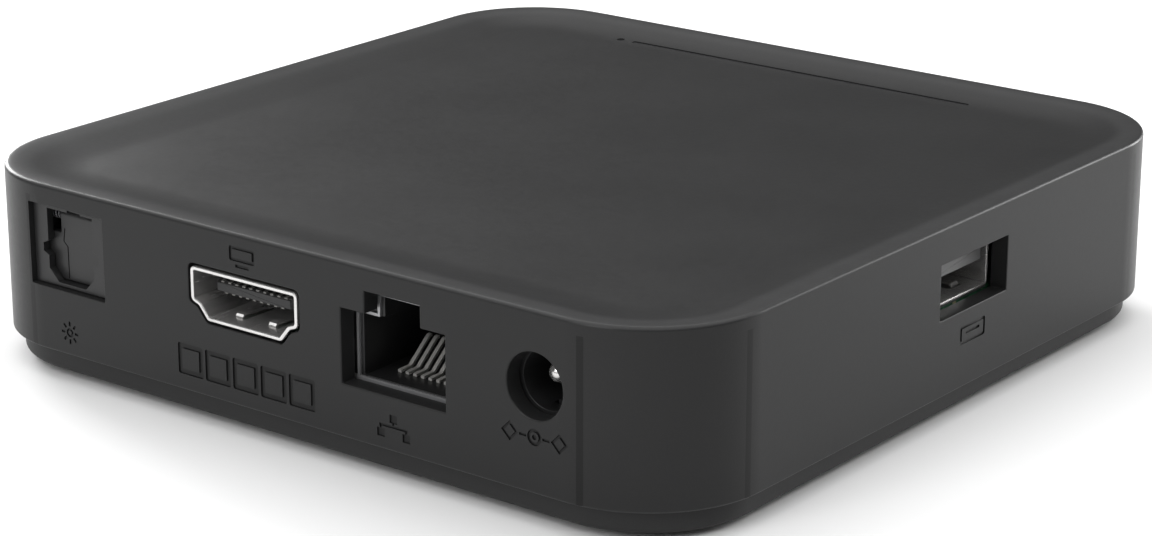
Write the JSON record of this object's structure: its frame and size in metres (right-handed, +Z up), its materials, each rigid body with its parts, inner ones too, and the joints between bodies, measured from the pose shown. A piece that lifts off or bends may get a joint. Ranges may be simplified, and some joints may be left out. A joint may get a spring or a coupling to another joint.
{
  "type": "streaming media player",
  "caption": "Square desktop media player box with a shallow dished top, a thin indicator line, rear power, network, video and optical sockets, and a side data socket.",
  "frame": {"origin": "middle of the body at the underside of the rubber feet, where it rests", "axes": "+Z up; -Y is the front with the indicator line, +Y is the rear with four sockets, -X is the side with the data socket"},
  "size_m": [0.1, 0.1, 0.0226],
  "materials": {
    "shell_plastic": "fine satin texture",
    "base_plastic": "satin",
    "foot_rubber": "soft matt",
    "screw_steel": "bright zinc",
    "guide_plastic": "smoked, satin",
    "lens_plastic": "clear, gloss",
    "board_laminate": "green solder mask",
    "chip_black": "moulded, matt",
    "pad_silicone": "soft grey",
    "sink_aluminium": "black anodised",
    "nylon_white": "natural nylon",
    "ferrite_grey": "pressed ferrite",
    "can_aluminium": "drawn can",
    "ceramic_tan": "fired ceramic",
    "shield_tin": "tinned sheet",
    "module_blue": "blue solder mask",
    "antenna_film": "black film",
    "lead_black": "smooth jacket",
    "contact_gold": "gold flashed",
    "contact_tin": "tin plated",
    "lamp_cream": "clear cap over phosphor",
    "socket_black": "moulded, slight sheen",
    "socket_white": "white moulding",
    "shroud_nickel": "bright nickel",
    "spring_steel": "bright wire",
    "emitter_red": "deep red window"
  },
  "bodies": {
    "player": {"top_shell": "shell_plastic", "base_cover": "base_plastic", "foot_1": "foot_rubber", "foot_2": "foot_rubber", "foot_3": "foot_rubber", "foot_4": "foot_rubber", "case_screws": "screw_steel", "light_guide": "guide_plastic", "status_lens": "lens_plastic", "main_board": "board_laminate", "processor": "chip_black", "thermal_pad": "pad_silicone", "heat_sink": "sink_aluminium", "heat_sink_pins": "nylon_white", "memory_chips": "chip_black", "storage_chip": "chip_black", "regulator_chips": "chip_black", "network_chip": "chip_black", "network_transformer": "chip_black", "power_inductors": "ferrite_grey", "filter_capacitors": "can_aluminium", "chip_capacitors": "ceramic_tan", "crystal": "shield_tin", "wireless_board": "module_blue", "wireless_shield": "shield_tin", "antenna_1": "antenna_film", "antenna_2": "antenna_film", "antenna_lead_1": "lead_black", "antenna_lead_2": "lead_black", "lead_plugs": "contact_gold", "remote_receiver": "chip_black", "indicator_lamps": "lamp_cream", "reset_switch": "shield_tin", "video_shroud": "shroud_nickel", "video_insulator": "socket_black", "video_contacts": "contact_tin", "network_housing": "socket_black", "network_shield": "shield_tin", "network_contacts": "contact_tin", "power_housing": "socket_black", "power_pin": "shroud_nickel", "power_spring": "spring_steel", "data_shroud": "shroud_nickel", "data_insulator": "socket_white", "data_contacts": "contact_tin", "optical_housing": "socket_black", "optical_hinge_pin": "spring_steel", "optical_spring": "spring_steel", "optical_emitter": "emitter_red"},
    "shutter": {"optical_shutter": "socket_black"},
    "reset_button": {"reset_plunger": "socket_black"}
  },
  "joints": [
    {"name": "optical_shutter_hinge", "type": "hinge", "parent": "player", "child": "shutter", "pos_m": [0.03245, 0.0476, 0.01888], "axis": [-1, 0, 0], "range_deg": [0, 85], "stiffness_Nm_per_rad": 0.00005, "springref_deg": -20.05, "deforming": ["optical_spring"]},
    {"name": "reset_press", "type": "slide", "parent": "player", "child": "reset_button", "axis": [0, 0, 1], "range_m": [0, 0.00025], "stiffness_N_per_m": 400, "springref_m": -0.00025}
  ]
}
